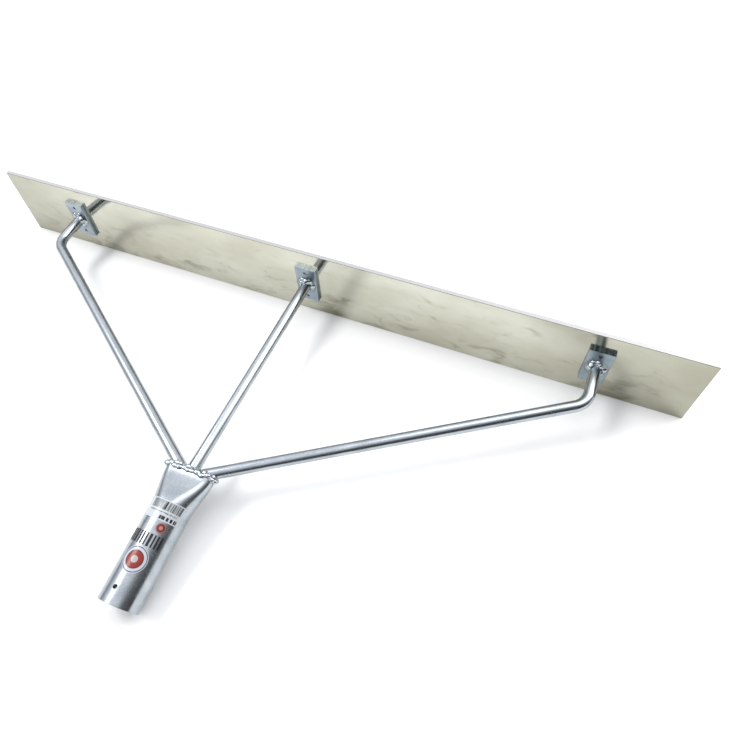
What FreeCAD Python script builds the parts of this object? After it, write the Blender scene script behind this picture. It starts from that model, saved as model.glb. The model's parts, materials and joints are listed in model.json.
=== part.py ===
"""Three-strut concrete float with a narrow straight blade, in millimetres.

The tool rests on the blade's lower long edge and on the open rim of its handle socket.
+X runs along the blade, +Y points from the handle to the working side and +Z is up.
The origin is the middle of the blade's lower edge, half way through its thickness.
Nothing on this tool moves: three plates, three rods and a socket are welded into one
holder, and six countersunk screws hold the blade on it.
"""
import FreeCAD, Part
import math
import os

V = FreeCAD.Vector

# Blade: a flat bar on edge.
blade_length = 1000.0
blade_height = 105.0
blade_thickness = 6.0
blade_edge_radius = 0.5

# Plates: short pieces of flat bar between blade and rods.
plate_width = 30.0
plate_height = 57.0
plate_thickness = 5.0
plate_corner_radius = 1.0
plate_offset = 383.5            # outer plates, from the middle of the blade
plate_centre_height = 54.0

# Blade screws: hexagon socket, countersunk, fitted from the working side.
screw_diameter = 5.0
screw_length = 10.0             # over the head
screw_head_diameter = 9.4
screw_key_width = 3.0           # across the flats of the hexagon
screw_key_depth = 2.0
screw_end_distance = 7.5        # from a screw's axis to the end of its plate
screw_blade_clearance = 0.25    # round the shank, in the blade's plain hole
screw_thread_clearance = 0.03   # round the shank, in the plate's tapped hole

# Rods.
rod_diameter = 14.0
rod_bend_radius = 28.0          # of the centreline
rod_bend_reach = 57.0           # from the blade's rear face to the corner of the bend
rod_bend_height = 50.0          # of that corner
rod_toe_offset = 13.0           # of an outer rod's centreline, where it meets the socket

# Socket: a tube with one end pressed flat over the rods.
socket_diameter = 44.5
socket_wall = 2.0
socket_length = 148.0
socket_tilt = 8.4               # degrees above level, from the open end to the rods
socket_reach = 297.0            # from the blade's rear face to the centre of the flat mouth
socket_flare_length = 50.0
socket_mouth_clearance = 0.15   # between the rods' thickness and the mouth's inner faces
socket_rim_chamfer = 0.4
handle_screw_diameter = 5.0
handle_screw_inset = 16.5       # from the open rim
handle_screw_turn = 5.0         # degrees from the top of the tube towards -X

# Welds.
plate_weld_radius = 12.5
plate_weld_height = 5.5
crown_weld_margin = 2.6         # beyond the mouth's outline
crown_weld_overlap = 1.6        # down the outside of the tube
crown_weld_height = 4.4         # up the rods
crown_weld_rounding = 2.0

# Labels stuck on the socket: distance of the centre from the flat mouth, then size.
label_thickness = 0.2
label_corner_radius = 2.0
label_glue_gap = 0.1
barcode_label_place = 49.5
barcode_label_size = (36.0, 21.0)
barcode_label_turn = 12.0       # degrees from the top of the tube towards +X
name_label_place = 81.0
name_label_size = (37.0, 13.0)
name_label_turn = 1.0
dot_label_place = 66.6
dot_label_diameter = 10.5
dot_label_turn = 27.0
badge_label_place = 102.5
badge_label_diameter = 27.0
badge_label_turn = 5.0

# Places that follow from the sizes above.
blade_rear = -blade_thickness / 2
plate_rear = blade_rear - plate_thickness
rod_radius = rod_diameter / 2
socket_radius = socket_diameter / 2
tilt = math.radians(socket_tilt)
socket_rim_height = socket_radius * math.cos(tilt)
socket_axis = V(0, math.cos(tilt), math.sin(tilt))
mouth_centre = V(0, blade_rear - socket_reach, socket_rim_height + socket_length * math.sin(tilt))
rim_centre = mouth_centre - socket_axis * socket_length
# In the socket's own frame +Z is its axis, from the open rim, and -Y is up.
socket_placement = FreeCAD.Placement(rim_centre, FreeCAD.Rotation(V(1, 0, 0), socket_tilt - 90))
ample = 4 * socket_diameter     # size of the blocks that only trim something
sides = {"left": -1, "centre": 0, "right": 1}
section_points = 42             # round one section of the flare
flare_sections = 7


def cylinder(radius, length, start, direction):
    """Return a cylinder from a point along a direction."""
    return Part.makeCylinder(radius, length, start, direction)


def block(low, high):
    """Return an axis-aligned box between two corner points."""
    size = high - low
    return Part.makeBox(size.x, size.y, size.z, low)


def in_socket_frame(shape):
    """Move a shape from the socket's own frame to its place on the tool."""
    moved = shape.copy()
    moved.Placement = socket_placement.multiply(shape.Placement)
    return moved


def edges_along(shape, direction):
    """Return the straight edges of a shape that run along a direction."""
    found = []
    for edge in shape.Edges:
        if isinstance(edge.Curve, Part.Line):
            if abs(edge.tangentAt(edge.FirstParameter).dot(direction)) > 0.999:
                found.append(edge)
    return found


def plate_x(side):
    """Return the middle of one plate along the blade."""
    return sides[side] * plate_offset


def screw_heights():
    """Return the heights of the two screws in every plate, by name."""
    half = plate_height / 2 - screw_end_distance
    return {"lower": plate_centre_height - half, "upper": plate_centre_height + half}


def screw_cone(x, z):
    """Return the countersunk cone of one screw's head, flush with the blade's front face."""
    depth = (screw_head_diameter - screw_diameter) / 2
    front = V(x, blade_thickness / 2, z)
    return Part.makeCone(screw_head_diameter / 2, screw_diameter / 2, depth, front, V(0, -1, 0))


def make_blade():
    """Return the blade with its long edges eased and six countersunk holes."""
    half = blade_length / 2
    bar = block(V(-half, blade_rear, 0), V(half, -blade_rear, blade_height))
    bar = bar.makeFillet(blade_edge_radius, edges_along(bar, V(1, 0, 0)))
    radius = screw_diameter / 2 + screw_blade_clearance
    for side in sides:
        for z in screw_heights().values():
            x = plate_x(side)
            hole = cylinder(radius, 2 * blade_thickness, V(x, blade_thickness, z), V(0, -1, 0))
            bar = bar.cut(hole.fuse(screw_cone(x, z)))
    return bar


def make_plate(side):
    """Return one plate with its two tapped holes."""
    x = plate_x(side)
    low = V(x - plate_width / 2, plate_rear, plate_centre_height - plate_height / 2)
    high = V(x + plate_width / 2, blade_rear, plate_centre_height + plate_height / 2)
    plate = block(low, high)
    plate = plate.makeFillet(plate_corner_radius, edges_along(plate, V(0, 0, 1)))
    radius = screw_diameter / 2 + screw_thread_clearance
    for z in screw_heights().values():
        plate = plate.cut(cylinder(radius, 3 * plate_thickness, V(x, plate_thickness, z), V(0, -1, 0)))
    return plate


def make_screw(side, level):
    """Return one countersunk screw with its hexagon socket."""
    x = plate_x(side)
    z = screw_heights()[level]
    front = V(x, blade_thickness / 2, z)
    shank = cylinder(screw_diameter / 2, screw_length, front, V(0, -1, 0))
    corner_radius = screw_key_width / math.sqrt(3)
    corners = []
    for index in range(7):
        turn = math.radians(60 * index)
        corners.append(front + V(corner_radius * math.cos(turn), 0, corner_radius * math.sin(turn)))
    key = Part.Face(Part.makePolygon(corners)).extrude(V(0, -screw_key_depth, 0))
    return shank.fuse(screw_cone(x, z)).cut(key).removeSplitter()


def rod_pipe(points):
    """Return a round rod along straight runs that are joined by one bend, if there are three points."""
    if len(points) == 2:
        run = points[1] - points[0]
        return cylinder(rod_radius, run.Length, points[0], run)
    start, corner, end = points
    back = (start - corner).normalize()
    ahead = (end - corner).normalize()
    half_angle = back.getAngle(ahead) / 2
    setback = rod_bend_radius / math.tan(half_angle)
    middle = (back + ahead).normalize()
    depth = rod_bend_radius / math.sin(half_angle) - rod_bend_radius
    first = corner + back * setback
    last = corner + ahead * setback
    arc = Part.Arc(first, corner + middle * depth, last).toShape()
    runs = [Part.makeLine(start, first), arc, Part.makeLine(last, end)]
    section = Part.Wire(Part.makeCircle(rod_radius, start, corner - start))
    return Part.Wire(runs).makePipeShell([section], True, True)


def plate_root(side):
    """Return the point where a rod's centreline meets its plate."""
    return V(plate_x(side), plate_rear, plate_centre_height)


def rod_centreline(side):
    """Return the points of a rod's centreline, from its plate to the flat mouth."""
    sign = sides[side]
    toe = mouth_centre + V(sign * rod_toe_offset, 0, 0)
    if sign == 0:
        return [plate_root(side), toe]
    corner = V(plate_x(side), blade_rear - rod_bend_reach, rod_bend_height)
    return [plate_root(side), corner, toe]


def extended(points, length):
    """Return a centreline with both end runs made longer."""
    first = points[0] + (points[0] - points[1]).normalize() * length
    last = points[-1] + (points[-1] - points[-2]).normalize() * length
    return [first] + points[1:-1] + [last]


def make_rod(side, centre_rod=None):
    """Return one rod, cut flush at its plate and at the mouth, and coped round the middle rod."""
    rod = rod_pipe(extended(rod_centreline(side), 2 * rod_diameter))
    wide = blade_length
    beyond_plate = block(V(-wide, plate_rear, -wide), V(wide, wide, wide))
    below_mouth = block(V(-ample, -ample, socket_length - ample), V(ample, ample, socket_length))
    rod = rod.cut(beyond_plate).cut(in_socket_frame(below_mouth))
    if centre_rod is not None:
        rod = rod.cut(centre_rod)
    return rod


def make_plate_weld(side, rod):
    """Return the ring of weld round a rod's root, as a low dome on the plate."""
    dome = (plate_weld_radius ** 2 + plate_weld_height ** 2) / (2 * plate_weld_height)
    root = plate_root(side)
    ball = Part.makeSphere(dome, root + V(0, dome - plate_weld_height, 0))
    reach = V(plate_weld_radius, 0, plate_weld_radius) * 1.5
    cap = ball.common(block(root - reach - V(0, dome, 0), root + reach))
    return cap.cut(rod)


def mouth_height(along, skin):
    """Return the tube's outer height at a distance from its rim, grown by a skin's thickness."""
    flat_height = rod_diameter + 2 * socket_mouth_clearance + 2 * socket_wall
    share = (along - socket_length + socket_flare_length) / socket_flare_length
    eased = share * share * (3 - 2 * share)
    return socket_diameter + (flat_height - socket_diameter) * eased + 2 * skin


def mouth_width(along, skin):
    """Return the outer width there. The pressed tube keeps the girth of its wall's centreline."""
    girth = math.pi * (socket_diameter - socket_wall)
    height = mouth_height(along, 0) - socket_wall
    return (girth - math.pi * height) / 2 + height + socket_wall + 2 * skin


def stadium_point(flat, radius, share, height):
    """Return the point a share of the way round two half circles joined by flats, from +X."""
    quarter = math.pi / 2 * radius + flat
    quadrant, rest = divmod(4 * share * quarter, quarter)
    if quadrant in (1, 3):
        rest = quarter - rest
    turn = min(rest / radius, math.pi / 2)
    x = flat + radius * math.cos(turn) - max(rest - math.pi / 2 * radius, 0)
    y = radius * math.sin(turn)
    return V(x if quadrant in (0, 3) else -x, y if quadrant < 2 else -y, height)


def flare_section(along, skin):
    """Return the tube's outline there as one smooth closed wire."""
    radius = mouth_height(along, skin) / 2
    flat = mouth_width(along, skin) / 2 - radius
    points = []
    for index in range(section_points):
        points.append(stadium_point(flat, radius, index / section_points, along))
    outline = Part.BSplineCurve()
    outline.interpolate(Points=points, PeriodicFlag=True, Parameters=range(section_points + 1))
    return Part.Wire(outline.toShape())


def tube_form(skin):
    """Return the socket's form as a full solid in its own frame, grown by a skin's thickness."""
    straight = socket_length - socket_flare_length
    round_end = cylinder(socket_radius + skin, straight, V(0, 0, 0), V(0, 0, 1))
    sections = [Part.Wire(Part.makeCircle(socket_radius + skin, V(0, 0, straight)))]
    for index in range(1, flare_sections):
        share = index / (flare_sections - 1)
        sections.append(flare_section(straight + socket_flare_length * share, skin))
    return round_end.fuse(Part.makeLoft(sections, True, False))


def make_socket():
    """Return the handle socket: a round tube pressed flat at one end, with one screw hole."""
    tube = tube_form(0).cut(tube_form(-socket_wall))
    at_rim = [edge for edge in tube.Edges if abs(edge.BoundBox.ZMax) < 0.01]
    tube = tube.makeChamfer(socket_rim_chamfer, at_rim)
    turn = math.radians(handle_screw_turn)
    outward = V(-math.sin(turn), -math.cos(turn), 0)
    hole = cylinder(handle_screw_diameter / 2, socket_diameter, V(0, 0, handle_screw_inset), outward)
    return in_socket_frame(tube.cut(hole))


def stadium_prism(width, height, low, high):
    """Return a prism over a stadium outline between two heights, in the socket's own frame."""
    radius = height / 2
    flat = width / 2 - radius
    corners = [V(-flat, -radius, low), V(flat, -radius, low), V(flat, radius, low), V(-flat, radius, low)]
    right_end = Part.Arc(corners[1], V(flat + radius, 0, low), corners[2])
    left_end = Part.Arc(corners[3], V(-flat - radius, 0, low), corners[0])
    outline = [Part.makeLine(corners[0], corners[1]), right_end.toShape(),
               Part.makeLine(corners[2], corners[3]), left_end.toShape()]
    return Part.Face(Part.Wire(outline)).extrude(V(0, 0, high - low))


def make_crown_weld(rods):
    """Return the weld that closes the flat mouth round the three rods."""
    width = mouth_width(socket_length, crown_weld_margin)
    height = mouth_height(socket_length, crown_weld_margin)
    low = socket_length - crown_weld_overlap
    high = socket_length + crown_weld_height
    bead = stadium_prism(width, height, low, high)
    ends = [edge for edge in bead.Edges if edge.BoundBox.ZLength < 0.01]
    bead = bead.makeFillet(crown_weld_rounding, ends).cut(tube_form(0))
    bead = in_socket_frame(bead)
    for rod in rods:
        bead = bead.cut(rod)
    return bead


def make_label(film, place, turn, patch):
    """Return the part of a film round the socket that lies under a flat patch pressed on it."""
    outward = FreeCAD.Rotation(V(0, 0, 1), turn).multiply(FreeCAD.Rotation(V(1, 0, 0), 90))
    cutter = patch.extrude(V(0, 0, socket_diameter))
    cutter.Placement = FreeCAD.Placement(V(0, 0, socket_length - place), outward)
    return in_socket_frame(film.common(cutter))


def round_patch(diameter):
    """Return a flat disc for a round label."""
    return Part.Face(Part.Wire(Part.makeCircle(diameter / 2)))


def square_patch(size, radius):
    """Return a flat rectangle with rounded corners, for a label across the tube."""
    width, length = size
    sheet = Part.makeBox(width, length, 1, V(-width / 2, -length / 2, 0))
    return sheet.makeFillet(radius, edges_along(sheet, V(0, 0, 1))).common(
        Part.makePlane(width, length, V(-width / 2, -length / 2, 0)))


def build():
    """Return every piece of the tool by its node's name."""
    rods = {"centre": make_rod("centre")}
    for side in ("left", "right"):
        rods[side] = make_rod(side, rods["centre"])
    pieces = {"blade": make_blade()}
    for side in sides:
        pieces["mounting_plate_" + side] = make_plate(side)
        pieces["brace_" + side] = rods[side]
        pieces["plate_weld_" + side] = make_plate_weld(side, rods[side])
        for level in screw_heights():
            pieces["blade_screw_" + side + "_" + level] = make_screw(side, level)
    pieces["handle_socket"] = make_socket()
    pieces["crown_weld"] = make_crown_weld(rods.values())
    film = tube_form(label_glue_gap + label_thickness).cut(tube_form(label_glue_gap))
    barcode = square_patch(barcode_label_size, label_corner_radius)
    name = square_patch(name_label_size, label_corner_radius)
    dot = round_patch(dot_label_diameter)
    badge = round_patch(badge_label_diameter)
    pieces["barcode_label"] = make_label(film, barcode_label_place, barcode_label_turn, barcode)
    pieces["name_label"] = make_label(film, name_label_place, name_label_turn, name)
    pieces["dot_label"] = make_label(film, dot_label_place, dot_label_turn, dot)
    pieces["badge_label"] = make_label(film, badge_label_place, badge_label_turn, badge)
    return pieces


os.makedirs("parts", exist_ok=True)
for node, shape in build().items():
    if not shape.isValid() or len(shape.Solids) != 1:
        raise ValueError(node + " is not one valid solid")
    shape.Solids[0].exportStep("parts/" + node + ".step")
    print(node, round(shape.Volume, 1), "mm3")
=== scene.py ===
"""Looks of a three-strut concrete float: an aluminium blade on a zinc-plated rod holder."""
import json
import logging
import math
import random
from dataclasses import dataclass, field
from enum import Enum

import bmesh
import bpy
from mathutils import Matrix, Quaternion, Vector


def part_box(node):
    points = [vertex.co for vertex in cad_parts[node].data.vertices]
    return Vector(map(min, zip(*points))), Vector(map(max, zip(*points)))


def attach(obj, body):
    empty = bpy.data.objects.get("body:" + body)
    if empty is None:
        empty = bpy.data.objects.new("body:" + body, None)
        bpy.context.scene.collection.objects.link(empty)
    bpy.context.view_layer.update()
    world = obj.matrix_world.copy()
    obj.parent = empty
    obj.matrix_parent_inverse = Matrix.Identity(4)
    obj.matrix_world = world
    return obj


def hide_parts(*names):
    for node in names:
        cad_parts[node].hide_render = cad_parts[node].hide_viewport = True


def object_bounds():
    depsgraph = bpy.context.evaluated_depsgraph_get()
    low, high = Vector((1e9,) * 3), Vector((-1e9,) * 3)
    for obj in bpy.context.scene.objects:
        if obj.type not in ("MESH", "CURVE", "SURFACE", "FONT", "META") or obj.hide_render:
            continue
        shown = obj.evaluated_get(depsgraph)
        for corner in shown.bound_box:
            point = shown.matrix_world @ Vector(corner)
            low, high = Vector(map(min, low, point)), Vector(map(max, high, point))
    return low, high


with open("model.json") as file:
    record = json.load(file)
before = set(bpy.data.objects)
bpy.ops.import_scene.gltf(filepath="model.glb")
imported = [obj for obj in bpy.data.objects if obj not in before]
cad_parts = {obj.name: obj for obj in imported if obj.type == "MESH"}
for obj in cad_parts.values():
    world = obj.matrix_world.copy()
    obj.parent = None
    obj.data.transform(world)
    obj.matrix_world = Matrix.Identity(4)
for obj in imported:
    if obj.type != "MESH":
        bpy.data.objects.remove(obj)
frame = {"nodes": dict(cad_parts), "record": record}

CAD_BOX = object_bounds()
LOG = logging.getLogger("float")
ROOT = "root"
SHARP_ANGLE = math.radians(34)


class Side(Enum):
    """The three rods' places along the blade."""

    LEFT = "left"
    CENTRE = "centre"
    RIGHT = "right"


def mm(value: float) -> float:
    """Turn millimetres into metres."""
    return value / 1000


def linear(colour: str) -> tuple[float, float, float, float]:
    """Turn an sRGB hex colour into linear RGBA.

    Args:
        colour: Six hex digits, with or without a leading hash.

    Returns:
        Linear red, green, blue and an alpha of 1.
    """
    digits = colour.lstrip("#")
    channels = []
    for start in (0, 2, 4):
        value = int(digits[start:start + 2], 16) / 255
        channels.append(value / 12.92 if value <= 0.04045 else ((value + 0.055) / 1.055) ** 2.4)
    return (channels[0], channels[1], channels[2], 1.0)


def add_node(material: bpy.types.Material | bpy.types.World, kind: str, links: dict | None = None,
             stops: tuple[tuple[float, str], ...] = (), **settings) -> bpy.types.Node:
    """Add one node to a material or a world, with its settings, values and links.

    Args:
        material: The material or world whose tree gets the node.
        kind: The node's type, without its ShaderNode prefix.
        links: Input name or number to a value, an output socket, or a node whose first output is meant.
        stops: For a colour ramp, places from 0 to 1 with their sRGB hex colours.
        settings: Properties of the node itself.

    Returns:
        The new node.
    """
    node = material.node_tree.nodes.new("ShaderNode" + kind)
    for name, value in settings.items():
        setattr(node, name, value)
    for key, value in (links or {}).items():
        source = value.outputs[0] if isinstance(value, bpy.types.Node) else value
        if isinstance(source, bpy.types.NodeSocket):
            material.node_tree.links.new(source, node.inputs[key])
        else:
            node.inputs[key].default_value = source
    if stops:
        elements = node.color_ramp.elements
        while len(elements) < len(stops):
            elements.new(0.5)
        for element, (place, colour) in zip(elements, stops):
            element.position = place
            element.color = linear(colour)
    return node


def grain(material: bpy.types.Material, size: float, stretch: tuple[float, float, float] = (1, 1, 1),
          detail: float = 2.0, place: tuple[float, float, float] = (0, 0, 0),
          swirl: float = 0.0) -> bpy.types.NodeSocket:
    """Add a noise pattern on Object coordinates.

    Args:
        material: The material whose tree gets the noise.
        size: Size of one lump of the noise, in millimetres.
        stretch: How many times longer a lump is along each axis.
        detail: Octaves of finer noise.
        place: Offset of the pattern in metres.
        swirl: How far the pattern is twisted into itself.

    Returns:
        The noise's factor output.
    """
    coordinates = add_node(material, "TexCoord").outputs["Object"]
    scale = [1 / mm(size) / part for part in stretch]
    mapped = add_node(material, "Mapping", {"Vector": coordinates, "Location": place, "Scale": scale})
    pattern = add_node(material, "TexNoise", {"Vector": mapped, "Scale": 1.0, "Detail": detail,
                                              "Distortion": swirl})
    return pattern.outputs["Fac"]


def start_material(name: str) -> tuple[bpy.types.Material, bpy.types.Node]:
    """Start a node material and return it with its shader."""
    material = bpy.data.materials.new(name)
    material.use_nodes = True
    return material, material.node_tree.nodes["Principled BSDF"]


def link(material: bpy.types.Material, source: bpy.types.NodeSocket, target: bpy.types.NodeSocket) -> None:
    """Link one socket to another."""
    material.node_tree.links.new(source, target)


@dataclass(frozen=True)
class MillAluminium:
    """Rolled aluminium flat bar, unpolished: a warm grey mirror, blurred and smudged."""

    name: str = "mill_aluminium"
    clean: str = "#ccccbe"
    dull: str = "#bab8a8"
    # Colour of the real stains and of the painted shadows beside the plates.
    stain_and_shadow: str = "#6c6852"
    # Painted shade that the bar darkens to towards both ends.
    end_shade: str = "#868474"
    drawn: str = "#bababa"
    # Painted shade: the dark colour of the rounded arrises.
    edge_shade: str = "#6a6960"
    cloud_size: float = 60.0
    mark_size: float = 15.0
    # Rolling lines are a few hundredths of a millimetre wide; 1.2 mm is the finest that shows.
    line_size: float = 1.2
    end_shade_from: float = mm(340)
    end_shade_to: float = mm(520)
    end_shade_share: float = 0.7
    # Each painted shadow beside a plate: distance from the plate's edge, height and reach, in millimetres.
    near_shadow: tuple[float, float, float] = (14, 10, 32)
    far_shadow: tuple[float, float, float] = (32, 38, 24)
    shadow_depth: float = 0.3
    left_shadow_depth: float = 0.14
    far_share: float = 0.45

    def build(self) -> bpy.types.Material:
        """Build the material."""
        material, shader = start_material(self.name)
        shader.inputs["Metallic"].default_value = 1.0
        clouds = grain(material, self.cloud_size, (1.8, 1, 1), 3.0)
        face = self.face_colour(material, clouds)
        # The long edges are rougher than the faces, so they scatter the light.
        normal = add_node(material, "NewGeometry").outputs["True Normal"]
        upright = add_node(material, "SeparateXYZ", {0: normal}).outputs["Z"]
        slope = add_node(material, "Math", {0: upright}, operation="ABSOLUTE")
        edge = add_node(material, "Math", {0: slope, 1: 0.2}, operation="GREATER_THAN")
        flat = add_node(material, "Math", {0: slope, 1: 0.97}, operation="GREATER_THAN")
        # Painted shade: the rounded arrises between the faces are drawn dark.
        border = add_node(material, "Mix", {0: flat, 6: linear(self.edge_shade), 7: linear(self.drawn)},
                          data_type="RGBA")
        colour = add_node(material, "Mix", {0: edge, 6: face, 7: border.outputs[2]}, data_type="RGBA")
        link(material, colour.outputs[2], shader.inputs["Base Color"])
        polish = add_node(material, "MapRange", {"Value": clouds, "From Min": 0.3, "From Max": 0.7,
                                                 "To Min": 0.08, "To Max": 0.16})
        scatter = add_node(material, "Math", {0: edge, 1: 0.5}, operation="MULTIPLY")
        rough = add_node(material, "Math", {0: polish, 1: scatter}, operation="MAXIMUM")
        link(material, rough.outputs[0], shader.inputs["Roughness"])
        lines = grain(material, self.line_size, (80, 1, 1), 2.0)
        bump = add_node(material, "Bump", {"Height": lines, "Distance": mm(0.003), "Strength": 0.2})
        link(material, bump.outputs["Normal"], shader.inputs["Normal"])
        return material

    def face_colour(self, material: bpy.types.Material,
                    clouds: bpy.types.NodeSocket) -> bpy.types.NodeSocket:
        """Mix the faces' colour from clouds, stains, painted shadows by the plates and painted shade at the
        ends.

        Args:
            material: The material whose tree gets the nodes.
            clouds: The broad pattern that parts clean metal from dull.

        Returns:
            The colour's socket.
        """
        cover = add_node(material, "ValToRGB", {0: clouds}, ((0.34, "#000000"), (0.66, "#ffffff")))
        base = add_node(material, "Mix", {0: cover, 6: linear(self.clean), 7: linear(self.dull)},
                        data_type="RGBA")
        # Marbled olive marks of 5 to 20 mm, a little thicker near the lower edge.
        stain_and_shadow_mask = grain(material, self.mark_size, (2.2, 1, 1), 5.0, (0.31, 0, 0.2), 0.9)
        spot = add_node(material, "TexCoord").outputs["Object"]
        place = add_node(material, "SeparateXYZ", {0: spot})
        low = add_node(material, "MapRange", {"Value": place.outputs["Z"], "From Min": mm(5),
                                              "From Max": mm(70), "To Min": 0.12, "To Max": 0.0})
        stain_and_shadow_mask = add_node(material, "Math", {0: stain_and_shadow_mask, 1: low}, operation="ADD")
        # Painted shadow: a dark pool beside each plate stands in for the reflected shadows of the plate and
        # its rod.
        for mark, reach, depth in self.shadows_beside_plates():
            gap = add_node(material, "VectorMath", {0: spot, 1: mark}, operation="DISTANCE")
            shadow_pool = add_node(material, "MapRange", {"Value": gap.outputs["Value"], "From Min": mm(2),
                                                   "From Max": reach, "To Min": depth, "To Max": 0.0})
            stain_and_shadow_mask = add_node(material, "Math", {0: stain_and_shadow_mask, 1: shadow_pool}, operation="ADD")
        steps = ((0.53, "#000000"), (0.65, "#484848"), (0.88, "#cccccc"))
        marks = add_node(material, "ValToRGB", {0: stain_and_shadow_mask}, steps)
        marked = add_node(material, "Mix", {0: marks, 6: base.outputs[2], 7: linear(self.stain_and_shadow)},
                          data_type="RGBA")
        # Painted shade: the bar is drawn darker towards both ends, where its reflected floor is dimmer.
        reach = add_node(material, "Math", {0: place.outputs["X"]}, operation="ABSOLUTE")
        ends = add_node(material, "MapRange", {"Value": reach, "From Min": self.end_shade_from,
                                               "From Max": self.end_shade_to, "To Min": 0.0,
                                               "To Max": self.end_shade_share})
        end_shaded = add_node(material, "Mix", {0: ends, 6: marked.outputs[2], 7: linear(self.end_shade)},
                         data_type="RGBA")
        return end_shaded.outputs[2]

    def shadows_beside_plates(self) -> list[tuple[Vector, float, float]]:
        """Return the place, reach and depth of the painted shadows on the rear face beside each plate."""
        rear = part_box("blade")[0][1]
        found = []
        for side in Side:
            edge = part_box("mounting_plate_" + side.value)[1][0]
            depth = self.left_shadow_depth if side is Side.LEFT else self.shadow_depth
            for (away, height, reach), share in ((self.near_shadow, 1.0), (self.far_shadow, self.far_share)):
                found.append((Vector((edge + mm(away), rear, mm(height))), mm(reach), depth * share))
        return found


@dataclass(frozen=True)
class BrightZinc:
    """Electroplated zinc on smooth steel: bright, slightly blue, with drifting dull patches."""

    name: str
    bright: str = "#bac0c5"
    dull: str = "#a5acb2"
    smooth: float = 0.18
    rough: float = 0.3
    patch: float = 26.0
    pits: float = 0.006
    pit_size: float = 1.6

    def build(self) -> bpy.types.Material:
        """Build the material."""
        material, shader = start_material(self.name)
        shader.inputs["Metallic"].default_value = 1.0
        drift = grain(material, self.patch, (1, 1, 1), 3.0)
        cover = add_node(material, "ValToRGB", {0: drift}, ((0.34, "#000000"), (0.68, "#ffffff")))
        coat = add_node(material, "Mix", {0: cover, 6: linear(self.bright), 7: linear(self.dull)},
                        data_type="RGBA")
        fine = grain(material, self.pit_size, (1, 1, 1), 2.0)
        speckle = add_node(material, "ValToRGB", {0: fine}, ((0.3, "#efefef"), (0.7, "#ffffff")))
        plated = add_node(material, "Mix", {0: 1.0, 6: coat.outputs[2], 7: speckle}, data_type="RGBA",
                          blend_type="MULTIPLY")
        link(material, plated.outputs[2], shader.inputs["Base Color"])
        broad = add_node(material, "Math", {0: drift, 1: 0.7}, operation="MULTIPLY")
        small = add_node(material, "Math", {0: fine, 1: 0.3}, operation="MULTIPLY")
        blend = add_node(material, "Math", {0: broad, 1: small}, operation="ADD")
        rough = add_node(material, "MapRange", {"Value": blend, "From Min": 0.3, "From Max": 0.7,
                                                "To Min": self.smooth, "To Max": self.rough})
        link(material, rough.outputs[0], shader.inputs["Roughness"])
        bump = add_node(material, "Bump", {"Height": fine, "Distance": mm(self.pits), "Strength": 0.5})
        link(material, bump.outputs["Normal"], shader.inputs["Normal"])
        return material


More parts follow.
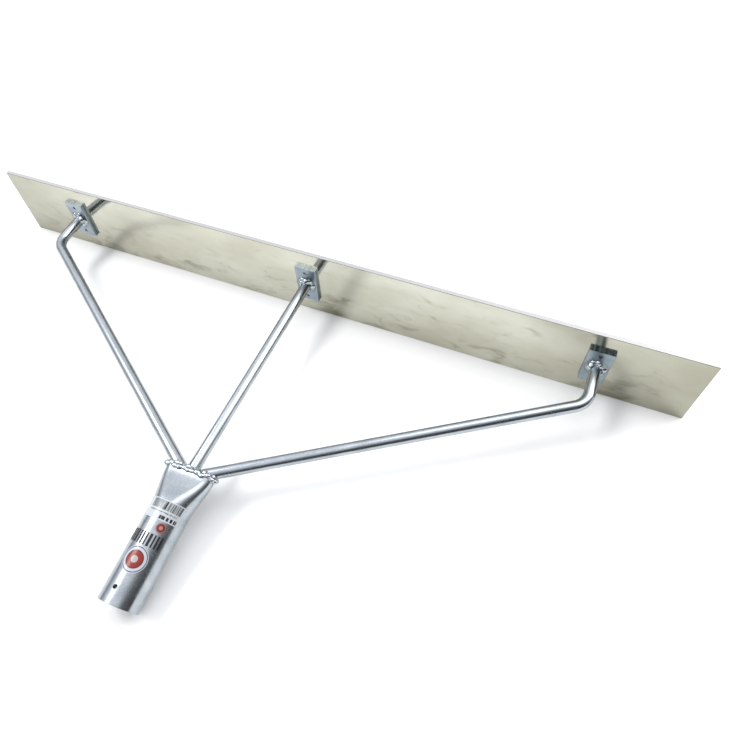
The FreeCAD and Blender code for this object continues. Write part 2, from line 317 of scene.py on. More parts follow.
@dataclass(frozen=True)
class SawnZincPlate:
    """Zinc-plated flat bar: satin rolled faces and sawn ends with coarse tooth marks."""

    name: str = "zinc_plate"
    face: str = "#9eaab3"
    dull: str = "#8c98a1"
    root_ring_colour: str = "#6e6c58"
    root_ring_radius: float = 13.4
    tooth: float = 1.3
    # Painted shade: beyond this X the sawn ends are drawn darker.
    shaded_ends_beyond: float = mm(200)

    def build(self) -> bpy.types.Material:
        """Build the material."""
        material, shader = start_material(self.name)
        shader.inputs["Metallic"].default_value = 1.0
        drift = grain(material, 14, (1, 1, 1), 3.0)
        cover = add_node(material, "ValToRGB", {0: drift}, ((0.35, "#000000"), (0.65, "#ffffff")))
        faces = add_node(material, "Mix", {0: cover, 6: linear(self.face), 7: linear(self.dull)},
                         data_type="RGBA")
        sides = add_node(material, "Mix", {0: self.root_ring(material), 6: faces.outputs[2],
                                           7: linear(self.root_ring_colour)}, data_type="RGBA")
        # The ends face up and down, so the height of the true normal finds them.
        normal = add_node(material, "NewGeometry").outputs["True Normal"]
        upright = add_node(material, "SeparateXYZ", {0: normal}).outputs["Z"]
        slope = add_node(material, "Math", {0: upright}, operation="ABSOLUTE")
        ends = add_node(material, "Math", {0: slope, 1: 0.8}, operation="GREATER_THAN")
        teeth = grain(material, self.tooth, (1, 5, 1), 3.0)
        light = add_node(material, "ValToRGB", {0: teeth}, ((0.3, "#9aa3aa"), (0.55, "#e4eaee")))
        dark = add_node(material, "ValToRGB", {0: teeth}, ((0.35, "#3c444b"), (0.65, "#8d979e")))
        # Painted shade: the right plate's ends are drawn darker than the others.
        spot = add_node(material, "TexCoord").outputs["Object"]
        along = add_node(material, "SeparateXYZ", {0: spot}).outputs["X"]
        right = add_node(material, "Math", {0: along, 1: self.shaded_ends_beyond}, operation="GREATER_THAN")
        sawn = add_node(material, "Mix", {0: right, 6: light, 7: dark}, data_type="RGBA")
        colour = add_node(material, "Mix", {0: ends, 6: sides.outputs[2], 7: sawn.outputs[2]},
                          data_type="RGBA")
        link(material, colour.outputs[2], shader.inputs["Base Color"])
        shader.inputs["Roughness"].default_value = 0.3
        cut = add_node(material, "Math", {0: ends, 1: 0.9}, operation="MULTIPLY")
        depth = add_node(material, "Math", {0: cut, 1: 0.1}, operation="ADD")
        height = add_node(material, "Math", {0: teeth, 1: depth}, operation="MULTIPLY")
        bump = add_node(material, "Bump", {"Height": height, "Distance": mm(0.25), "Strength": 0.6})
        link(material, bump.outputs["Normal"], shader.inputs["Normal"])
        return material

    def root_ring(self, material: bpy.types.Material) -> bpy.types.NodeSocket:
        """Return the strength of the thin dark ring drawn round each rod's root, at the toe of its weld."""
        spot = add_node(material, "TexCoord").outputs["Object"]
        place = add_node(material, "SeparateXYZ", {0: spot})
        low, high = (Vector(corner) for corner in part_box("mounting_plate_right"))
        middle = (low + high) / 2
        # The plates stand at equal steps along X, so wrapping X finds the nearest rod.
        across = add_node(material, "Math", {0: place.outputs["X"], 1: middle.x / 2, 2: -middle.x / 2},
                          operation="WRAP")
        height = add_node(material, "Math", {0: place.outputs["Z"], 1: middle.z}, operation="SUBTRACT")
        offset = add_node(material, "CombineXYZ", {"X": across, "Y": height})
        reach = add_node(material, "VectorMath", {0: offset}, operation="LENGTH").outputs["Value"]
        past = add_node(material, "Math", {0: reach, 1: mm(self.root_ring_radius)}, operation="SUBTRACT")
        miss = add_node(material, "Math", {0: past}, operation="ABSOLUTE")
        tint = add_node(material, "MapRange", {"Value": miss, "From Min": mm(0.3), "From Max": mm(1.1),
                                               "To Min": 0.6, "To Max": 0.0})
        return tint.outputs[0]


@dataclass(frozen=True)
class PrintedFilm:
    """Vinyl film printed in one flat ink, under a thin gloss varnish."""

    name: str
    ink: str
    rough: float = 0.3

    def build(self) -> bpy.types.Material:
        """Build the material."""
        material, shader = start_material(self.name)
        smudge = grain(material, 3.0, (1, 1, 1), 3.0)
        wear = add_node(material, "ValToRGB", {0: smudge}, ((0.3, "#f2f2f2"), (0.7, "#ffffff")))
        tinted = add_node(material, "Mix", {0: 1.0, 6: linear(self.ink), 7: wear}, data_type="RGBA",
                          blend_type="MULTIPLY")
        link(material, tinted.outputs[2], shader.inputs["Base Color"])
        shader.inputs["Roughness"].default_value = self.rough
        return material


@dataclass(frozen=True)
class StripedFilm:
    """White vinyl film with plain dark stripes that carry no code, and a few blurred dashes."""

    name: str = "white_label"
    paper: str = "#babfc3"
    ink: str = "#101114"
    stripe: float = 0.9
    dash: float = 1.1
    letter: float = 1.9
    printed_width: float = 38.0

    def build(self) -> bpy.types.Material:
        """Build the material."""
        material, shader = start_material(self.name)
        uv = add_node(material, "TexCoord").outputs["UV"]
        stripes = self.row(material, uv, self.stripe, (0.07, 0.93), (0.52, 0.95), 0.49)
        dashes = self.row(material, uv, self.dash, (0.10, 0.86), (0.36, 0.43), 0.52)
        bold = self.row(material, uv, self.letter, (0.46, 0.92), (0.06, 0.24), 0.40)
        small = add_node(material, "Math", {0: dashes, 1: bold}, operation="MAXIMUM")
        marks = add_node(material, "Math", {0: stripes, 1: small}, operation="MAXIMUM")
        colour = add_node(material, "Mix", {0: marks, 6: linear(self.paper), 7: linear(self.ink)},
                          data_type="RGBA")
        link(material, colour.outputs[2], shader.inputs["Base Color"])
        shader.inputs["Roughness"].default_value = 0.28
        return material

    def row(self, material: bpy.types.Material, uv: bpy.types.NodeSocket, size: float,
            span: tuple[float, float], rows: tuple[float, float], share: float) -> bpy.types.Node:
        """Draw one row of uneven marks inside a window of the film.

        Args:
            material: The material whose tree gets the row.
            uv: The film's own coordinates, from 0 to 1 each way.
            size: Typical width of a mark in millimetres.
            span: Where the row starts and ends.
            rows: The row's two edges.
            share: Threshold of the noise above which ink is laid.

        Returns:
            A node whose output is 1 on ink.
        """
        parts = add_node(material, "SeparateXYZ", {0: uv})
        across, along = parts.outputs["X"], parts.outputs["Y"]
        reach = add_node(material, "Math", {0: across, 1: self.printed_width / size}, operation="MULTIPLY")
        pattern = add_node(material, "TexNoise", {"W": reach, "Scale": 1.0, "Detail": 0.0},
                           noise_dimensions="1D")
        mark = add_node(material, "Math", {0: pattern.outputs["Fac"], 1: share}, operation="GREATER_THAN")
        for value, (low, high) in ((across, span), (along, rows)):
            for limit, test in ((low, "GREATER_THAN"), (high, "LESS_THAN")):
                inside = add_node(material, "Math", {0: value, 1: limit}, operation=test)
                mark = add_node(material, "Math", {0: mark, 1: inside}, operation="MULTIPLY")
        return mark


@dataclass(frozen=True)
class RingedFilm:
    """Round vinyl film with plain rings of ink."""

    name: str
    stops: tuple[tuple[float, str], ...]

    def build(self) -> bpy.types.Material:
        """Build the material."""
        material, shader = start_material(self.name)
        uv = add_node(material, "TexCoord").outputs["UV"]
        offset = add_node(material, "VectorMath", {0: uv, 1: (0.5, 0.5, 0.0)}, operation="DISTANCE")
        radius = add_node(material, "Math", {0: offset.outputs["Value"], 1: 2.0}, operation="MULTIPLY")
        rings = add_node(material, "ValToRGB", {0: radius}, self.stops)
        rings.color_ramp.interpolation = "CONSTANT"
        link(material, rings.outputs[0], shader.inputs["Base Color"])
        shader.inputs["Roughness"].default_value = 0.28
        return material


@dataclass(frozen=True)
class StudioPaper:
    """Matt white studio paper."""

    name: str = "studio_paper"
    colour: str = "#f4f4f3"

    def build(self) -> bpy.types.Material:
        """Build the material."""
        material, shader = start_material(self.name)
        shader.inputs["Base Color"].default_value = linear(self.colour)
        shader.inputs["Roughness"].default_value = 0.9
        shader.inputs["Specular IOR Level"].default_value = 0.0
        return material


def make_piece(shape: bmesh.types.BMesh, name: str, material: bpy.types.Material, slot: str,
               nodes: list[str]) -> bpy.types.Object:
    """Turn a finished bmesh into a piece that stands for CAD nodes.

    Args:
        shape: The bmesh, in metres and in its final place. It is freed.
        name: The piece's name.
        material: Its finish.
        slot: The record's material slot.
        nodes: The CAD nodes that it replaces.

    Returns:
        The new object.
    """
    bmesh.ops.remove_doubles(shape, verts=shape.verts[:], dist=mm(0.001))
    bmesh.ops.recalc_face_normals(shape, faces=shape.faces[:])
    for face in shape.faces:
        face.smooth = True
    for edge in shape.edges:
        edge.smooth = edge.calc_face_angle(0.0) < SHARP_ANGLE
    mesh = bpy.data.meshes.new(name)
    shape.to_mesh(mesh)
    shape.free()
    piece = bpy.data.objects.new(name, mesh)
    bpy.context.collection.objects.link(piece)
    mesh.materials.append(material)
    settle(piece, slot, nodes)
    return piece


def settle(piece: bpy.types.Object, slot: str, nodes: list[str]) -> None:
    """Attach a piece to the root body, hide the CAD nodes that it replaces and log its slot."""
    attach(piece, ROOT)
    if nodes:
        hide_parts(*nodes)
    LOG.info("%s: %d faces, slot %s", piece.name, len(piece.data.polygons), slot)


def dress(node: str, material: bpy.types.Material) -> None:
    """Give a carried-over CAD node its finish."""
    piece = frame["nodes"][node]
    piece.data.materials.clear()
    piece.data.materials.append(material)
    LOG.info("%s: CAD shape, finish %s", node, material.name)


def close_ends(shape: bmesh.types.BMesh) -> None:
    """Fill every open loop of a bmesh."""
    open_edges = [edge for edge in shape.edges if edge.is_boundary]
    bmesh.ops.holes_fill(shape, edges=open_edges, sides=0)


def cut_away(shape: bmesh.types.BMesh, point: Vector, outward: Vector) -> None:
    """Cut off what lies beyond a plane, and leave the cut open."""
    everything = shape.verts[:] + shape.edges[:] + shape.faces[:]
    bmesh.ops.bisect_plane(shape, geom=everything, plane_co=point, plane_no=outward, clear_outer=True)


def turn_to(direction: Vector) -> Matrix:
    """Return the rotation that points +Z along a direction."""
    return direction.to_track_quat("Z", "Y").to_matrix().to_4x4()


@dataclass
class Holder:
    """Places and sizes that the rods, the socket and the labels share, taken from the frame."""

    rod_radius: float = field(init=False)
    plate_rear: float = field(init=False)
    bore_radius: float = field(init=False)
    axis: Vector = field(init=False)
    rim: Vector = field(init=False)
    mouth: Vector = field(init=False)
    own_frame: Matrix = field(init=False)
    wall: float = mm(2.0)
    socket_length: float = mm(148.0)
    flare_length: float = mm(50.0)
    toe_offset: float = mm(13.0)
    bend_reach: float = mm(57.0)
    bend_height: float = mm(50.0)
    mouth_clearance: float = mm(0.15)

    def __post_init__(self) -> None:
        """Read the shared places from the frame."""
        low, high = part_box("brace_centre")
        self.rod_radius = (high[0] - low[0]) / 2
        self.plate_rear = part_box("mounting_plate_centre")[0][1]
        bore = self.mount("handle_socket_bore")
        self.bore_radius = mm(bore["dims"]["r_mm"])
        self.axis = -Vector(bore["axis"]).normalized()
        on_axis = Vector(bore["pos_m"])
        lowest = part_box("handle_socket")[0][1]
        rim_y = lowest + self.outer_radius * self.axis.z
        self.rim = on_axis + self.axis * ((rim_y - on_axis.y) / self.axis.y)
        self.mouth = self.rim + self.axis * self.socket_length
        across = Vector((1.0, 0.0, 0.0))
        down = self.axis.cross(across)
        self.own_frame = Matrix((across, down, self.axis)).transposed().to_4x4()
        self.own_frame.translation = self.rim

    def mount(self, name: str) -> dict:
        """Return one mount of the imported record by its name."""
        return next(item for item in frame["record"]["mounts"] if item["name"] == name)

    @property
    def outer_radius(self) -> float:
        """The round tube's outer radius."""
        return self.bore_radius + self.wall

    def section(self, share: float, along: float, skin: float) -> Vector:
        """Return a point of the socket's outline in the socket's own frame.

        Args:
            share: Share of the way round, from +X and first towards the underside.
            along: Distance from the open rim.
            skin: Distance outside the tube's outer face, negative inside it.

        Returns:
            The point, with the socket's axis as Z.
        """
        flat_height = 2 * (self.rod_radius + self.mouth_clearance + self.wall)
        progress = (along - self.socket_length + self.flare_length) / self.flare_length
        progress = min(max(progress, 0.0), 1.0)
        eased = progress * progress * (3 - 2 * progress)
        height = 2 * self.outer_radius + (flat_height - 2 * self.outer_radius) * eased
        girth = math.pi * (2 * self.outer_radius - self.wall)
        flat = (girth - math.pi * (height - self.wall)) / 4
        radius = height / 2 + skin
        quarter = math.pi / 2 * radius + flat
        quadrant, rest = divmod(4 * (share % 1.0) * quarter, quarter)
        if quadrant in (1, 3):
            rest = quarter - rest
        turn = min(rest / radius, math.pi / 2)
        x = flat + radius * math.cos(turn) - max(rest - math.pi / 2 * radius, 0.0)
        y = radius * math.sin(turn)
        return Vector((x if quadrant in (0, 3) else -x, y if quadrant < 2 else -y, along))

    def girth(self) -> float:
        """Return the length of the tube's outer outline."""
        return 2 * math.pi * self.outer_radius


@dataclass
class BladeAndScrews:
    """The flat bar and the screws that hold it: CAD shapes with their finishes."""

    metal: bpy.types.Material
    screw_metal: bpy.types.Material

    def build(self) -> None:
        """Dress the blade and its screws."""
        dress("blade", self.metal)
        for side in Side:
            for level in ("lower", "upper"):
                dress("blade_screw_%s_%s" % (side.value, level), self.screw_metal)


@dataclass
class Plates:
    """The three plates between blade and rods."""

    metal: bpy.types.Material

    def build(self) -> None:
        """Dress the plates."""
        for side in Side:
            dress("mounting_plate_" + side.value, self.metal)


@dataclass
class Rods:
    """The three round rods: two with one bend, and a straight one between them."""

    holder: Holder
    metal: bpy.types.Material
    bend_radius: float = mm(28.0)
    facets: int = 64
    bend_steps: int = 28

    def centreline(self, side: Side) -> list[Vector]:
        """Return a rod's corner points, from its plate to the socket's mouth."""
        low, high = (Vector(corner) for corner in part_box("mounting_plate_" + side.value))
        middle = (low + high) / 2
        root = Vector((middle.x, low.y, middle.z))
        toe = self.holder.mouth.copy()
        if side is Side.CENTRE:
            return [root, toe]
        toe.x += math.copysign(self.holder.toe_offset, middle.x)
        blade_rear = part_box("blade")[0][1]
        corner = Vector((middle.x, blade_rear - self.holder.bend_reach, self.holder.bend_height))
        return [root, corner, toe]

    def build(self) -> None:
        """Build all three rods."""
        for side in Side:
            self.build_rod(side)

    def build_rod(self, side: Side) -> bpy.types.Object:
        """Build one rod by extruding a circle along its runs and spinning it round its bend.

        Args:
            side: Which rod.

        Returns:
            The rod's object.
        """
        points = self.centreline(side)
        spare = 2 * self.holder.rod_radius
        first_run = (points[1] - points[0]).normalized()
        start = points[0] - first_run * spare
        shape = bmesh.new()
        place = Matrix.Translation(start) @ turn_to(first_run)
        bmesh.ops.create_circle(shape, segments=self.facets, radius=self.holder.rod_radius, matrix=place)
        ring = shape.edges[:]
        if side is not Side.CENTRE:
            ring = self.round_bend(shape, ring, start, points[1], points[2])
        last_run = (points[-1] - points[-2]).normalized()
        centre = sum((vert.co for vert in ring_verts(ring)), Vector()) / self.facets
        self.run_on(shape, ring, last_run * ((points[-1] - centre).dot(last_run) + spare))
        cut_away(shape, Vector((0, self.holder.plate_rear, 0)), Vector((0, 1, 0)))
        cut_away(shape, self.holder.mouth, -self.holder.axis)
        close_ends(shape)
        name = "brace_" + side.value
        return make_piece(shape, name + "_rod", self.metal, "zinc_rod", [name])

    def run_on(self, shape: bmesh.types.BMesh, ring: list, travel: Vector) -> list:
        """Extrude a ring of edges straight on and return the new ring."""
        grown = bmesh.ops.extrude_edge_only(shape, edges=ring)["geom"]
        verts = [item for item in grown if isinstance(item, bmesh.types.BMVert)]
        bmesh.ops.translate(shape, verts=verts, vec=travel)
        fresh = set(verts)
        return [item for item in grown if isinstance(item, bmesh.types.BMEdge)
                and item.verts[0] in fresh and item.verts[1] in fresh]

    def round_bend(self, shape: bmesh.types.BMesh, ring: list, start: Vector, corner: Vector,
                   end: Vector) -> list:
        """Carry a ring to the bend and round it, and return the ring where the bend ends."""
        back = (start - corner).normalized()
        ahead = (end - corner).normalized()
        half_angle = back.angle(ahead) / 2
        setback = self.bend_radius / math.tan(half_angle)
        ring = self.run_on(shape, ring, corner + back * setback - start)
        centre = corner + (back + ahead).normalized() * (self.bend_radius / math.sin(half_angle))
        turn_axis = back.cross(ahead).normalized()
        spun = bmesh.ops.spin(shape, geom=ring, cent=centre, axis=turn_axis, steps=self.bend_steps,
                              angle=-(math.pi - 2 * half_angle))["geom_last"]
        return [item for item in spun if isinstance(item, bmesh.types.BMEdge)]


def ring_verts(ring: list) -> set:
    """Return the vertices of a ring of edges."""
    return {vert for edge in ring for vert in edge.verts}


@dataclass
class Socket:
    """The handle socket: a tube whose far end is pressed flat over the rods."""

    holder: Holder
    metal: bpy.types.Material
    facets: int = 128
    lip: float = mm(0.4)
    flare_steps: int = 26
    hole_band: tuple[float, float] = (mm(11.5), mm(21.5))

    def stations(self) -> list[tuple[float, float]]:
        """Return the distance and skin of each ring, up the outside and down the bore."""
        length = self.holder.socket_length
        straight = length - self.holder.flare_length
        places = [self.lip, *self.hole_band, straight / 2, straight - mm(2)]
        for step in range(self.flare_steps):
            places.append(straight + (self.holder.flare_length - self.lip) * step / (self.flare_steps - 1))
        outside = [(0.0, -self.lip)] + [(place, 0.0) for place in places] + [(length, -self.lip)]
        inside = [(length, self.lip - self.holder.wall)]
        inside += [(place, -self.holder.wall) for place in reversed(places)]
        inside += [(0.0, self.lip - self.holder.wall)]
        return outside + inside

    def build(self) -> bpy.types.Object:
        """Build the socket and drill its screw hole."""
        shape = bmesh.new()
        share_layer = shape.verts.layers.float.new("share")
        bmesh.ops.create_circle(shape, segments=self.facets, radius=1.0)
        for vert in shape.verts:
            vert[share_layer] = math.atan2(vert.co.y, vert.co.x) / (2 * math.pi)
        ring = shape.edges[:]
        first = ring
        for number, (along, skin) in enumerate(self.stations()):
            if number:
                grown = bmesh.ops.extrude_edge_only(shape, edges=ring)["geom"]
                fresh = {item for item in grown if isinstance(item, bmesh.types.BMVert)}
                ring = [item for item in grown if isinstance(item, bmesh.types.BMEdge)
                        and item.verts[0] in fresh and item.verts[1] in fresh]
            for vert in ring_verts(ring):
                vert.co = self.holder.section(vert[share_layer], along, skin)
        bmesh.ops.bridge_loops(shape, edges=first + ring)
        bmesh.ops.transform(shape, matrix=self.holder.own_frame, verts=shape.verts[:])
        piece = make_piece(shape, "socket_tube", self.metal, "zinc_tube", ["handle_socket"])
        self.drill(piece)
        return piece

    def drill(self, piece: bpy.types.Object) -> None:
        """Cut the handle screw's hole through the upper wall."""
        hole = self.holder.mount("handle_screw_hole")
        radius = mm(hole["dims"]["r_mm"])
        place = Matrix.Translation(Vector(hole["pos_m"])) @ turn_to(Vector(hole["axis"]))
        cutter_shape = bmesh.new()
        bmesh.ops.create_cone(cutter_shape, cap_ends=True, segments=48, radius1=radius, radius2=radius,
                              depth=self.holder.outer_radius, matrix=place)
        cutter_mesh = bpy.data.meshes.new("hole_cutter")
        cutter_shape.to_mesh(cutter_mesh)
        cutter_shape.free()
        cutter = bpy.data.objects.new("hole_cutter", cutter_mesh)
        bpy.context.collection.objects.link(cutter)
        drill = piece.modifiers.new("screw_hole", "BOOLEAN")
        drill.operation = "DIFFERENCE"
        drill.solver = "EXACT"
        drill.object = cutter
        apply_modifiers(piece)
        bpy.data.objects.remove(cutter)


def apply_modifiers(piece: bpy.types.Object) -> None:
    """Replace a piece's mesh with the result of its modifiers."""
    bpy.context.view_layer.update()
    evaluated = piece.evaluated_get(bpy.context.evaluated_depsgraph_get())
    result = bpy.data.meshes.new_from_object(evaluated)
    old = piece.data
    result.name = old.name
    piece.modifiers.clear()
    piece.data = result
    bpy.data.meshes.remove(old)


@dataclass
class Welds:
    """Weld metal: a lumpy ring at each rod's root, and one rolled bead round the socket's mouth."""

    holder: Holder
    metal: bpy.types.Material
    ring_radius: float = mm(8.0)
    ring_drop: float = mm(5.4)
    ring_drops: int = 5
    toe_drop: float = mm(4.8)
    toe_drops: int = 3
    seam_drop: float = mm(3.3)
    seam_drops: int = 24
    seam_waves: int = 9
    filler_drop: float = mm(2.6)
    filler_drops: int = 15
    tail_drop: float = 2.5
    tail_taper: float = 0.09
    tail_drops: int = 12
    tail_length: float = mm(15.0)
    grit: float = mm(0.45)
    seed: int = 11

    def build(self) -> None:
        """Build the three rings and the seam."""
        for number, side in enumerate(Side):
            self.build_ring(side, random.Random(self.seed + number))
        self.build_seam(random.Random(self.seed + len(Side)))

    def drop(self, shape: bmesh.types.BMesh, place: Vector, radius: float,
             stretch: tuple[float, float, float] = (1.0, 1.0, 1.0)) -> None:
        """Add one drop of weld metal."""
        matrix = Matrix.Translation(place) @ Matrix.Diagonal((*stretch, 1.0))
        bmesh.ops.create_icosphere(shape, subdivisions=3, radius=radius, matrix=matrix)

    def build_ring(self, side: Side, chance: random.Random) -> bpy.types.Object:
        """Build the bead round one rod's root.

        Args:
            side: Which rod.
            chance: Seeded source of the bead's unevenness.

        Returns:
            The bead's object.
        """
        low, high = (Vector(corner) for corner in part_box("mounting_plate_" + side.value))
        root = Vector(((low.x + high.x) / 2, low.y, (low.z + high.z) / 2))
        shape = bmesh.new()
        for number in range(self.ring_drops):
            turn = 2 * math.pi * (number + chance.uniform(-0.25, 0.25)) / self.ring_drops
            radius = self.ring_radius * chance.uniform(0.92, 1.06)
            place = root + Vector((radius * math.cos(turn), mm(1.0), radius * math.sin(turn)))
            self.drop(shape, place, self.ring_drop * chance.uniform(0.85, 1.08), (1.0, 0.75, 1.0))
        for number in range(self.toe_drops):
            turn = 2 * math.pi * (number + 0.5 + chance.uniform(-0.3, 0.3)) / self.toe_drops
            radius = self.holder.rod_radius
            out = mm(chance.uniform(1.0, 2.4))
            place = root + Vector((radius * math.cos(turn), -out, radius * math.sin(turn)))
            self.drop(shape, place, self.toe_drop * chance.uniform(0.7, 1.15))
        name = "plate_weld_" + side.value
        return self.melt(shape, name, name + "_bead", root, Vector((0, 1, 0)))

    def build_seam(self, chance: random.Random) -> bpy.types.Object:
        """Build the bead that closes the socket's mouth round the rods."""
        shape = bmesh.new()
        own = self.holder.own_frame
        length = self.holder.socket_length
        for number in range(self.seam_drops):
            share = (number + chance.uniform(-0.3, 0.3)) / self.seam_drops
            place = self.holder.section(share, length, mm(-0.5))
            place.z += mm(1.2 * math.sin(2 * math.pi * share * self.seam_waves) + chance.uniform(-1.3, 0.0))
            self.drop(shape, own @ place, self.seam_drop * chance.uniform(0.8, 1.15), (1.4, 1.0, 1.0))
            place = self.holder.section(share + 0.5 / self.seam_drops, length, mm(-2.4))
            place.z += mm(chance.uniform(1.2, 2.8))
            self.drop(shape, own @ place, self.seam_drop * chance.uniform(0.8, 1.1))
        # Filler closes the mouth between the rods.
        width = self.holder.section(0.0, length, mm(-2.5)).x
        for number in range(self.filler_drops):
            place = Vector((width * (number / (self.filler_drops // 2) - 1), 0, length + mm(1.0)))
            self.drop(shape, own @ place, self.filler_drop, (1.2, 1, 2.4))
        self.add_tail(shape, chance)
        return self.melt(shape, "crown_weld", "crown_weld_seam", None, None)

    def add_tail(self, shape: bmesh.types.BMesh, chance: random.Random) -> None:
        """Run the bead a little way out along the outer side of each outer rod."""
        for side in (Side.LEFT, Side.RIGHT):
            low, high = (Vector(corner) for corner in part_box("brace_" + side.value))
            outer = low.x if side is Side.LEFT else high.x
            toe = self.holder.mouth + Vector((math.copysign(self.holder.toe_offset, outer), 0, 0))
            bend_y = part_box("blade")[0][1] - self.holder.bend_reach
            run = (Vector((outer, bend_y, self.holder.bend_height)) - toe).normalized()
            outward = run.cross(Vector((0, 0, 1))).normalized()
            if outward.y > 0:
                outward.negate()
            for step in range(self.tail_drops):
                reach = mm(1.0) + self.tail_length * step / (self.tail_drops - 1)
                lift = Vector((0, 0, -mm(2.4 + 1.2 * math.sin(1.7 * step) + chance.uniform(-0.4, 0.4))))
                place = toe + run * reach + outward * (self.holder.rod_radius - mm(1.4)) + lift
                size = mm(self.tail_drop - self.tail_taper * step)
                self.drop(shape, place, size * chance.uniform(0.85, 1.1))

    def melt(self, shape: bmesh.types.BMesh, node: str, name: str, point: Vector | None,
             outward: Vector | None) -> bpy.types.Object:
        """Melt separate drops into one skin with a voxel remesh and a light smoothing.

        Args:
            shape: The drops. It is freed.
            node: The CAD node that the weld replaces.
            name: The piece's name.
            point: A point of the plane that the weld is trimmed at, or None.
            outward: That plane's outward direction, or None.

        Returns:
            The weld's object.
        """
        piece = make_piece(shape, name, self.metal, "weld_bead", [node])
        remesh = piece.modifiers.new("melt", "REMESH")
        remesh.mode = "VOXEL"
        remesh.voxel_size = self.grit
        remesh.use_smooth_shade = True
        relax = piece.modifiers.new("relax", "SMOOTH")
        relax.factor = 0.5
        relax.iterations = 8
        apply_modifiers(piece)
        if point is not None:
            trimmed = bmesh.new()
            trimmed.from_mesh(piece.data)
            cut_away(trimmed, point, outward)
            close_ends(trimmed)
            trimmed.to_mesh(piece.data)
            trimmed.free()
        return piece


@dataclass
class Labels:
    """Printed films on the socket."""

    holder: Holder
    white: bpy.types.Material
    black: bpy.types.Material
    red: bpy.types.Material
    badge: bpy.types.Material
    thickness: float = mm(0.15)
    lift: float = mm(0.1)
    # Widths are measured round the tube; a place is the distance from the flat mouth.
    barcode_size: tuple[float, float] = (mm(42.0), mm(21.0))
    barcode_place: float = mm(49.5)
    barcode_turn: float = 12.0
    bar_widths: tuple[float, ...] = (1.7, 1.7, 2.6, 1.5, 2.0, 1.6, 2.8, 1.7, 1.9, 2.2)
    bar_gap: float = 1.9
    bar_length: float = mm(13.0)
    bar_place: float = mm(81.0)
    bar_turn: float = 1.0
    dot_size: float = mm(10.2)
    dot_place: float = mm(66.6)
    dot_turn: float = 27.0
    badge_size: float = mm(27.0)
    badge_place: float = mm(102.5)
    badge_turn: float = 5.0

    def build(self) -> None:
        """Build the four labels."""
        white = bmesh.new()
        self.film(white, 0.0, self.barcode_place, self.barcode_size, self.barcode_turn, mm(2.0))
        make_piece(white, "barcode_film", self.white, "white_label", ["barcode_label"])
        bars = bmesh.new()
        total = sum(self.bar_widths) + self.bar_gap * (len(self.bar_widths) - 1)
        reach = -total / 2
        for width in self.bar_widths:
            middle = mm(reach + width / 2)
            self.film(bars, middle, self.bar_place, (mm(width), self.bar_length), self.bar_turn, mm(0.3))
            reach += width + self.bar_gap
        make_piece(bars, "name_bars", self.black, "black_label", ["name_label"])
        dot = bmesh.new()
        self.film(dot, 0.0, self.dot_place, (self.dot_size, self.dot_size), self.dot_turn,
                  self.dot_size / 2)
        make_piece(dot, "dot_film", self.red, "red_label", ["dot_label"])
        badge = bmesh.new()
        self.film(badge, 0.0, self.badge_place, (self.badge_size, self.badge_size), self.badge_turn,
                  self.badge_size / 2)
        make_piece(badge, "badge_film", self.badge, "badge_label", ["badge_label"])

    def film(self, shape: bmesh.types.BMesh, shift: float, place: float, size: tuple[float, float],
             turn: float, corner: float) -> None:
        """Add one film to a bmesh, wrapped on the socket.

        Args:
            shape: The bmesh that gets the film.
            shift: Distance of the film's middle round the tube from its turn.
            place: Distance of its middle from the flat mouth.
            size: Its size round the tube and along it.
            turn: Degrees from the top of the tube towards +X.
            corner: Radius of its corners.
        """
        width, length = size
        uv_layer = shape.loops.layers.uv.verify()
        steps = 28
        grown = bmesh.ops.create_grid(shape, x_segments=steps, y_segments=steps, size=1.0)
        verts = grown["verts"]
        faces = list({face for vert in verts for face in vert.link_faces})
        for face in faces:
            for loop in face.loops:
                flat = self.rounded(loop.vert.co, width, length, corner)
                loop[uv_layer].uv = (flat.x / width + 0.5, flat.y / length + 0.5)
        top = 0.75 + turn / 360
        for vert in verts:
            flat = self.rounded(vert.co, width, length, corner)
            share = top + (flat.x + shift) / self.holder.girth()
            along = self.holder.socket_length - place + flat.y
            vert.co = self.holder.own_frame @ self.holder.section(share, along, self.lift + self.thickness)
        bmesh.ops.recalc_face_normals(shape, faces=faces)
        bmesh.ops.solidify(shape, geom=faces, thickness=self.thickness)

    def rounded(self, place: Vector, width: float, length: float, corner: float) -> Vector:
        """Map a point of the square from -1 to 1 to a rectangle with rounded corners."""
        x, y = abs(place.x) * width / 2, abs(place.y) * length / 2
        in_x, in_y = x - (width / 2 - corner), y - (length / 2 - corner)
        if in_x > 0 and in_y > 0:
            u, v = in_x / corner, in_y / corner
            x = width / 2 - corner + corner * u * math.sqrt(1 - v * v / 2)
            y = length / 2 - corner + corner * v * math.sqrt(1 - u * u / 2)
        return Vector((math.copysign(x, place.x), math.copysign(y, place.y), 0.0))


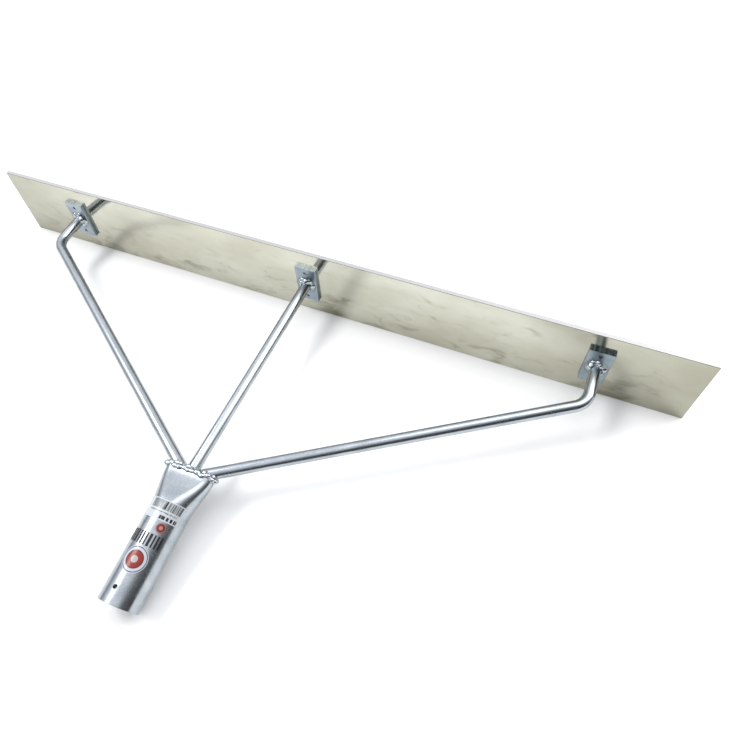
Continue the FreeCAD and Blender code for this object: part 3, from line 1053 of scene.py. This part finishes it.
@dataclass
class Studio:
    """Floor, soft lights and camera."""

    paper: bpy.types.Material
    floor_size: float = 30.0
    wall_colour: str = "#f8faff"
    ceiling: float = 1.3
    low_wall: float = 0.2
    backdrop: float = 0.9
    dark_share: float = 0.1
    dark_corner: Vector = field(default_factory=lambda: Vector((0.74, -0.60, 0.25)))
    # Each light's name, middle and size in metres, and power in watts.
    lights: tuple = (("key", (-1.8, -0.3, 2.65), (0.9, 1.4), 54.0),
                     ("overhead", (0.9, 0.9, 2.4), (2.6, 1.6), 22.0),
                     ("window", (2.0, 1.5, 1.6), (1.5, 1.5), 20.0))
    aim: Vector = field(default_factory=lambda: Vector((0.0, -0.2, 0.05)))
    camera_place: Vector = field(default_factory=lambda: Vector((0.3020, -0.4758, 0.6216)))
    heading: float = math.radians(25.21)
    pitch: float = math.radians(54.14)
    roll: float = math.radians(-3.25)
    lens: float = 28.42

    def build(self) -> None:
        """Build the whole set."""
        self.lay_floor()
        for name, place, size, power in self.lights:
            self.light(name, Vector(place), size, power)
        self.light_room()
        bpy.context.scene.view_settings.view_transform = "Standard"
        self.place_camera()

    def light_room(self) -> None:
        """Light the set with a pale room: a glowing ceiling, one dark corner and dimmer low walls."""
        world = bpy.data.worlds.new("studio")
        world.use_nodes = True
        background = world.node_tree.nodes["Background"]
        background.inputs["Color"].default_value = linear(self.wall_colour)
        sight = add_node(world, "TexCoord").outputs["Generated"]
        corner = self.dark_corner.normalized()
        facing = add_node(world, "VectorMath", {0: sight, 1: corner}, operation="DOT_PRODUCT")
        shade = add_node(world, "MapRange", {"Value": facing.outputs["Value"], "From Min": 0.35,
                                             "From Max": 0.9}, interpolation_type="SMOOTHSTEP")
        height = add_node(world, "SeparateXYZ", {0: sight}).outputs["Z"]
        # The dark corner stops below the ceiling.
        wall = add_node(world, "MapRange", {"Value": height, "From Min": 0.7, "From Max": 1.15,
                                            "To Min": 1.0 - self.dark_share, "To Max": 0.0},
                        interpolation_type="SMOOTHSTEP")
        dark = add_node(world, "Math", {0: shade, 1: wall}, operation="MULTIPLY")
        open_side = add_node(world, "Math", {0: 1.0, 1: dark}, operation="SUBTRACT")
        glow = add_node(world, "MapRange", {"Value": height, "From Min": -0.1, "From Max": 0.75,
                                            "To Min": self.low_wall, "To Max": self.ceiling},
                        interpolation_type="SMOOTHSTEP")
        strength = add_node(world, "Math", {0: open_side, 1: glow}, operation="MULTIPLY")
        # Seen directly, the room is one pale backdrop.
        direct = add_node(world, "LightPath").outputs["Is Camera Ray"]
        seen = add_node(world, "MapRange", {"Value": direct, "To Min": strength, "To Max": self.backdrop})
        link(world, seen.outputs[0], background.inputs["Strength"])
        bpy.context.scene.world = world

    def lay_floor(self) -> None:
        """Lay the paper floor at the height that the tool rests on."""
        shape = bmesh.new()
        bmesh.ops.create_grid(shape, x_segments=1, y_segments=1, size=self.floor_size / 2,
                              matrix=Matrix.Translation(Vector((0, 0, CAD_BOX[0][2]))))
        mesh = bpy.data.meshes.new("floor")
        shape.to_mesh(mesh)
        shape.free()
        floor = bpy.data.objects.new("floor", mesh)
        bpy.context.collection.objects.link(floor)
        mesh.materials.append(self.paper)

    def light(self, name: str, place: Vector, size: tuple[float, float], power: float) -> None:
        """Hang one soft light that points at the tool.

        Args:
            name: The light's name.
            place: Its middle.
            size: Its width, and its length, which lies as nearly as it can along Y.
            power: Its power in watts.
        """
        lamp = bpy.data.lights.new(name, "AREA")
        lamp.shape = "RECTANGLE"
        lamp.size, lamp.size_y = size
        lamp.energy = power
        holder = bpy.data.objects.new(name, lamp)
        bpy.context.collection.objects.link(holder)
        away = (place - self.aim).normalized()
        across = Vector((0.0, 1.0, 0.0)).cross(away).normalized()
        turn = Matrix((across, away.cross(across), away)).transposed().to_4x4()
        holder.matrix_world = Matrix.Translation(place) @ turn

    def place_camera(self) -> None:
        """Place the camera and make it the scene's."""
        camera_data = bpy.data.cameras.new("camera")
        camera_data.lens = self.lens
        camera_data.sensor_width = 36.0
        camera = bpy.data.objects.new("camera", camera_data)
        bpy.context.collection.objects.link(camera)
        flat = math.cos(self.pitch)
        sight = Vector((-flat * math.sin(self.heading), flat * math.cos(self.heading),
                        -math.sin(self.pitch)))
        level = sight.to_track_quat("-Z", "Y")
        tilted = level @ Quaternion((0, 0, 1), self.roll)
        camera.matrix_world = Matrix.Translation(self.camera_place) @ tilted.to_matrix().to_4x4()
        bpy.context.scene.camera = camera


def main() -> None:
    """Build every piece and the studio, in order."""
    logging.basicConfig(level=logging.INFO, format="%(name)s %(message)s")
    holder = Holder()
    rod_zinc = BrightZinc("zinc_rod").build()
    tube_zinc = BrightZinc("zinc_tube", patch=18.0).build()
    screw_zinc = BrightZinc("zinc_screw", "#8f959c", "#6d737a", patch=4.0).build()
    weld_zinc = BrightZinc("weld_bead", "#c9cfd4", "#aab2b9", 0.11, 0.19, 3.0, 0.003).build()
    BladeAndScrews(MillAluminium().build(), screw_zinc).build()
    Plates(SawnZincPlate().build()).build()
    Rods(holder, rod_zinc).build()
    Socket(holder, tube_zinc).build()
    Welds(holder, weld_zinc).build()
    dot = RingedFilm("red_label", ((0.0, "#a37a74"), (0.40, "#6f1811"), (0.84, "#a7847f"),
                                   (0.92, "#6f1811")))
    badge = RingedFilm("badge_label", ((0.0, "#a69f9d"), (0.26, "#822014"), (0.60, "#56110a"),
                                       (0.68, "#b6bac2"), (0.88, "#181f2e"), (0.94, "#b6bac2")))
    Labels(holder, StripedFilm().build(), PrintedFilm("black_label", "#0b0b0d", 0.5).build(), dot.build(),
           badge.build()).build()
    Studio(StudioPaper().build()).build()


if __name__ == "__main__":
    main()
